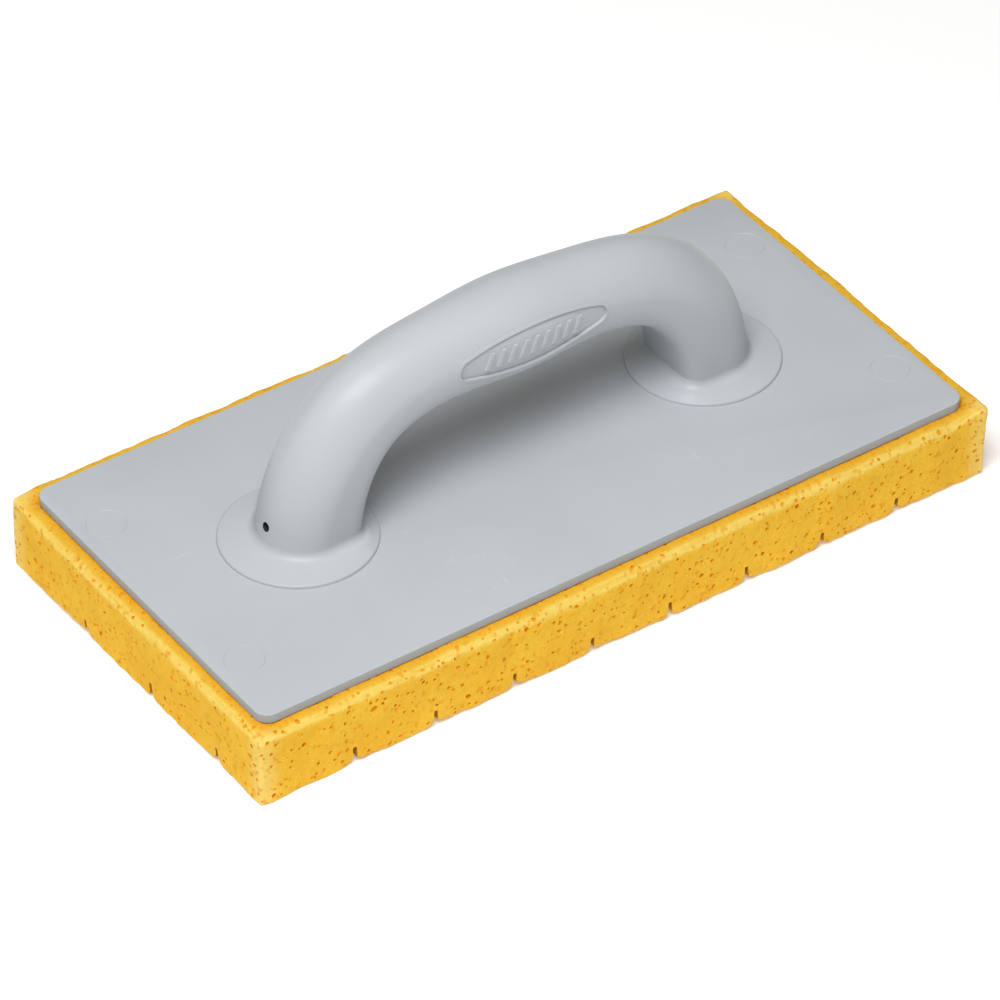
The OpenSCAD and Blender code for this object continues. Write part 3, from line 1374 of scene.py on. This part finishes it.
    def lobes(self, points: np.ndarray) -> tuple[np.ndarray, np.ndarray]:
        """Lifts the lips of each cut, and each lobe between two cuts by its own amount.

        Args:
            points: Rows of points on the rounded block.

        Returns:
            How far each point would rise at the foot, and how close it is to a cut, from 0 to 1.
        """
        draw = np.random.default_rng(self.seed)
        lift, tuck = np.zeros(len(points)), np.zeros(len(points))
        for axis, places in enumerate(self.cut_places()):
            lobe = np.searchsorted(places, points[:, axis])
            offset = points[:, axis, None] - places[None, :]
            nearest = np.abs(offset).argmin(axis=1)
            gap = offset[np.arange(len(points)), nearest]
            close = np.clip(1 - np.abs(gap) / self.lip_reach, 0.0, 1.0) ** self.lip_power
            lips = draw.uniform(*self.lip_share, (len(places), 2)) * np.array(self.lip_lift)
            lift += lips[nearest, (gap > 0).astype(int)] * close
            lift += self.lobe_lift * draw.uniform(0.0, self.lobe_share, len(places) + 1)[lobe]
            ends = np.array([self.low[axis], *places, self.high[axis]])
            share = (points[:, axis] - ends[lobe]) / (ends[lobe + 1] - ends[lobe])
            lift += self.lobe_slant * (1 - share) * (lobe > 0)
            tuck = np.maximum(tuck, close)
        return lift, tuck

    def wedges(self) -> bpy.types.Object:
        """Makes one tool for all the V-shaped water cuts.

        Returns:
            The tool.
        """
        low, top = self.low.z - MM, self.low.z + self.cut_deep
        mouth, foot = self.cut_mouth / 2, self.cut_foot / 2
        profile = [(-mouth, low), (mouth, low), (foot, top), (-foot, top)]
        tool = None
        for axis, places in enumerate(self.cut_places()):
            reach = self.half[1 - axis] + self.cut_past
            for place in places:
                rings = [[(place + s, end, z) if axis == 0 else (end, place + s, z) for s, z in profile]
                         for end in (-reach, reach)]
                wedge = loft("wedge", np.array(rings))
                tool = wedge if tool is None else carve(tool, wedge, Cut.ON)
        return tool

    def pore_chances(self, mesh: bpy.types.Mesh) -> tuple[np.ndarray, np.ndarray, np.ndarray]:
        """Weighs each face of the block by how much of it pores may open in.

        Args:
            mesh: The block's mesh.

        Returns:
            Each face's centre, normal and weight.
        """
        count = len(mesh.polygons)
        area, centre, normal = np.empty(count), np.empty(count * 3), np.empty(count * 3)
        for key, values in (("area", area), ("center", centre), ("normal", normal)):
            mesh.polygons.foreach_get(key, values)
        centre, normal = centre.reshape(-1, 3), normal.reshape(-1, 3)
        past = self.past_plate(centre)
        hidden = (centre[:, 2] > self.high.z - MM) & (past < -MM)
        weight = np.where(hidden, 0.0, area)
        weight[normal[:, 2] < -0.8] *= self.under_share
        weight[(normal[:, 2] > 0.7) & (past < self.beside_wid)] *= self.beside_share
        return centre, normal, weight

    def by_a_cut(self, place: np.ndarray, reach: float) -> bool:
        """Tells whether a pore would run into a water cut.

        Args:
            place: The pore's centre.
            reach: Its largest radius.

        Returns:
            True when it would.
        """
        gaps = [np.abs(places - at).min() for places, at in zip(self.cut_places(), place)]
        return bool(place[2] < self.low.z + self.cut_deep + reach + MM
                    and min(gaps) < reach + self.cut_mouth)

    def pores(self, block: bpy.types.Object) -> bpy.types.Object:
        """Scatters round pores over the block's own surface.

        Args:
            block: The block before it is cut.

        Returns:
            One tool with all the pores, none touching another.
        """
        draw = np.random.default_rng(self.seed + 5)
        centre, normal, weight = self.pore_chances(block.data)
        wanted = int(weight.sum() / self.pore_area)
        picks = draw.choice(len(weight), size=wanted * 2, p=weight / weight.sum())
        balls = {fine: unit_ball(fine) for fine in (1, 2)}
        verts, faces = [], []
        bins: dict[tuple[int, ...], list[tuple[np.ndarray, float]]] = {}
        offset = 0
        for pick in picks:
            size = self.pore_small + (self.pore_large - self.pore_small) * draw.beta(*self.pore_bias)
            jitter = draw.uniform(-0.5, 0.5, 3) * self.cell
            jitter -= normal[pick] * (jitter @ normal[pick])
            long_way = draw.normal(size=3)
            long_way /= np.linalg.norm(long_way)
            stretch = draw.uniform(*self.pore_stretch)
            sink = draw.uniform(*self.pore_sink)
            place = centre[pick] + jitter - normal[pick] * size * sink
            reach = size * stretch
            if self.by_a_cut(place, reach) or len(verts) >= wanted:
                continue
            home = tuple(np.floor(place / self.bin_size).astype(int))
            crowd = [other for step in np.ndindex(3, 3, 3)
                     for other in bins.get(tuple(np.array(home) + step - 1), ())]
            if any(np.linalg.norm(place - spot) < reach + far + self.pore_gap for spot, far in crowd):
                continue
            bins.setdefault(home, []).append((place, reach))
            ball, sides = balls[2 if size > self.fine_ball_from else 1]
            verts.append(place + (ball + np.outer(ball @ long_way, long_way) * (stretch - 1)) * size)
            faces.extend((a + offset, b + offset, c + offset) for a, b, c in sides)
            offset += len(ball)
        log.info("sponge pores: %d", len(verts))
        return make_object("pores", np.concatenate(verts), faces)

    def build(self, *materials: bpy.types.Material) -> bpy.types.Object:
        """Builds the block.

        Args:
            *materials: Material of the outer faces, of the pores and of the water cuts; the last two are
                        darker as painted shade.

        Returns:
            The finished block.
        """
        points, faces = self.lattice()
        block = make_object("sponge_block", self.relaxed(self.rounded(points)), faces)
        tools = [self.pores(block), self.wedges()]
        coat(block, *materials)
        for index, tool in enumerate(tools, 1):
            coat(tool, *materials, index=index)
            carve(block, tool)
        shade(block, self.smooth_below)
        return block


def unit_ball(steps: int) -> tuple[np.ndarray, list[tuple[int, int, int]]]:
    """Makes the points and faces of a small ball of radius 1.

    Args:
        steps: Subdivisions of the icosahedron.

    Returns:
        Its points and its triangles.
    """
    shape = bmesh.new()
    bmesh.ops.create_icosphere(shape, subdivisions=steps, radius=1.0)
    points = np.array([v.co[:] for v in shape.verts])
    faces = [tuple(v.index for v in f.verts) for f in shape.faces]
    shape.free()
    return points, faces


# --------------------------------------------------------------------- studio


@dataclass
class Studio:
    """Pale floor, soft lights and the camera."""

    azimuth: float = -35.09
    elevation: float = 39.9
    roll: float = 0.165
    distance: float = 2.1737
    aim: tuple[float, float] = (-16.7 * MM, -21.8 * MM)
    lens: float = 247.67
    sensor: float = 36.0
    clip: tuple[float, float] = (0.1, 50.0)
    floor_half: float = 6.0
    sky_levels: tuple[tuple[float, float], ...] = ((0.0, 0.08), (0.55, 0.16), (1.0, 0.48))
    sky_tint: tuple[float, float, float] = (1.05, 1.0, 0.94)
    key_place: tuple[float, float, float] = (-0.5, -0.46, 1.38)
    key_size: float = 0.8
    key_power: float = 21.5
    key_tint: tuple[float, float, float] = (0.98, 1.0, 1.02)

    def build(self, aim_z: float) -> None:
        """Sets up the floor, the lights and the camera.

        Args:
            aim_z: Height that the camera looks at.
        """
        corners = np.array([(-1, -1, 0), (1, -1, 0), (1, 1, 0), (-1, 1, 0)]) * self.floor_half
        floor = make_object("studio_floor", corners, [(0, 1, 2, 3)])
        coat(floor, PaleFloor("pale_floor").build())
        self.sky()
        self.key_light()
        self.camera(Vector((*self.aim, aim_z)))
        settings = bpy.context.scene.view_settings
        settings.view_transform = "Standard"
        settings.look = "None"
        settings.exposure = 0.0
        settings.gamma = 1.0

    def sky(self) -> None:
        """Lights the scene with soft white that is brightest overhead."""
        kit = ShaderKit(bpy.data.worlds.new("studio_sky"), "Generated")
        stops = [(height, grey(level, self.sky_tint)) for height, level in self.sky_levels]
        colour = kit.add("ShaderNodeValToRGB", {"stops": stops}, {"Fac": kit.part(kit.space, "Z")})
        glow = kit.add("ShaderNodeBackground", None, {"Color": colour})
        bpy.context.scene.world = kit.close(glow, "ShaderNodeOutputWorld")

    def key_light(self) -> None:
        """Adds one square soft light that faces the float."""
        lamp = bpy.data.lights.new("key_light", "AREA")
        lamp.shape = "SQUARE"
        lamp.size = self.key_size
        lamp.energy = self.key_power
        lamp.color = self.key_tint
        turn = (-Vector(self.key_place)).to_track_quat("-Z", "Y")
        self.put(bpy.data.objects.new("key_light", lamp), self.key_place, turn)

    def camera(self, target: Vector) -> None:
        """Adds the camera, looking at a target from the set direction.

        Args:
            target: The point that it looks at.
        """
        azimuth, elevation = math.radians(self.azimuth), math.radians(self.elevation)
        level = Vector((math.sin(azimuth), -math.cos(azimuth), 0.0))
        back = level * math.cos(elevation) + Vector((0.0, 0.0, math.sin(elevation)))
        view = bpy.data.cameras.new("studio_camera")
        view.lens = self.lens
        view.sensor_width = self.sensor
        view.clip_start, view.clip_end = self.clip
        upright = (-back).to_track_quat("-Z", "Y")
        tilt = Matrix.Rotation(math.radians(self.roll), 3, back).to_quaternion()
        thing = bpy.data.objects.new("studio_camera", view)
        self.put(thing, target + back * self.distance, tilt @ upright)
        bpy.context.scene.camera = thing

    @staticmethod
    def put(thing: bpy.types.Object, place: Vector, turn: Quaternion) -> None:
        """Adds a light or a camera to the scene.

        Args:
            thing: The new object.
            place: Its position.
            turn: Its rotation.
        """
        thing.location = place
        thing.rotation_mode = "QUATERNION"
        thing.rotation_quaternion = turn
        bpy.context.scene.collection.objects.link(thing)


# ----------------------------------------------------------------------- main


def dress_node(name: str, material: bpy.types.Material) -> None:
    """Gives a CAD node that stays a better material.

    Args:
        name: The node's name.
        material: Its new material.
    """
    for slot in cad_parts[name].material_slots:
        slot.material = material
    log.info("%s: kept from the frame", name)


def main() -> None:
    """Builds every piece in order and reports it."""
    logging.basicConfig(level=logging.INFO, format="%(name)s: %(message)s")
    plate_low, plate_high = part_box("base_plate")
    sponge_low, sponge_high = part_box("sponge_pad")
    handle_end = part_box("handle")[1].x

    bow = BowHandle(plate_top=plate_high.z, flange_x=handle_end - BowHandle.flange_r)
    # The second finish is near-black painted shade for the vent's bore.
    plastic_and_bore_shade = (
        MouldedPlastic("satin_handle_plastic").build(),
        MouldedPlastic("vent_bore_painted_shade", level=0.03).build(),
    )
    handle = bow.build(*plastic_and_bore_shade)
    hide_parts("handle")
    dress(handle)
    log.info("bow handle: %d faces", len(handle.data.polygons))

    plate = BasePlate(plate_low, plate_high, bow.flange_x).build()
    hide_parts("base_plate")
    finish = MouldedPlastic("satin_plate_plastic", level=0.52, rough=0.34, scratches=0.4, side_shade=0.45)
    coat(plate, finish.build())
    dress(plate)
    log.info("float plate: %d faces", len(plate.data.polygons))

    foams = (
        SpongeSkin("sponge_skin", plate_high, sponge_high).build(),
        PoreWall("sponge_pore_wall").build(),
        # The cut walls are darker still: painted shade inside the water cuts.
        PoreWall("sponge_cut_wall", (0.62, 0.3, 0.02), (0.5, 0.24, 0.015)).build(),
    )
    sponge = SpongeBlock(sponge_low, sponge_high, plate_high).build(*foams)
    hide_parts("sponge_pad")
    dress(sponge)
    log.info("sponge block: %d faces", len(sponge.data.polygons))

    dress_node("adhesive_film", GlueLine("contact_glue").build())
    dress_node("handle_screws", ScrewSteel("plated_steel").build())
    Studio().build(plate_high.z)


if __name__ == "__main__":
    main()
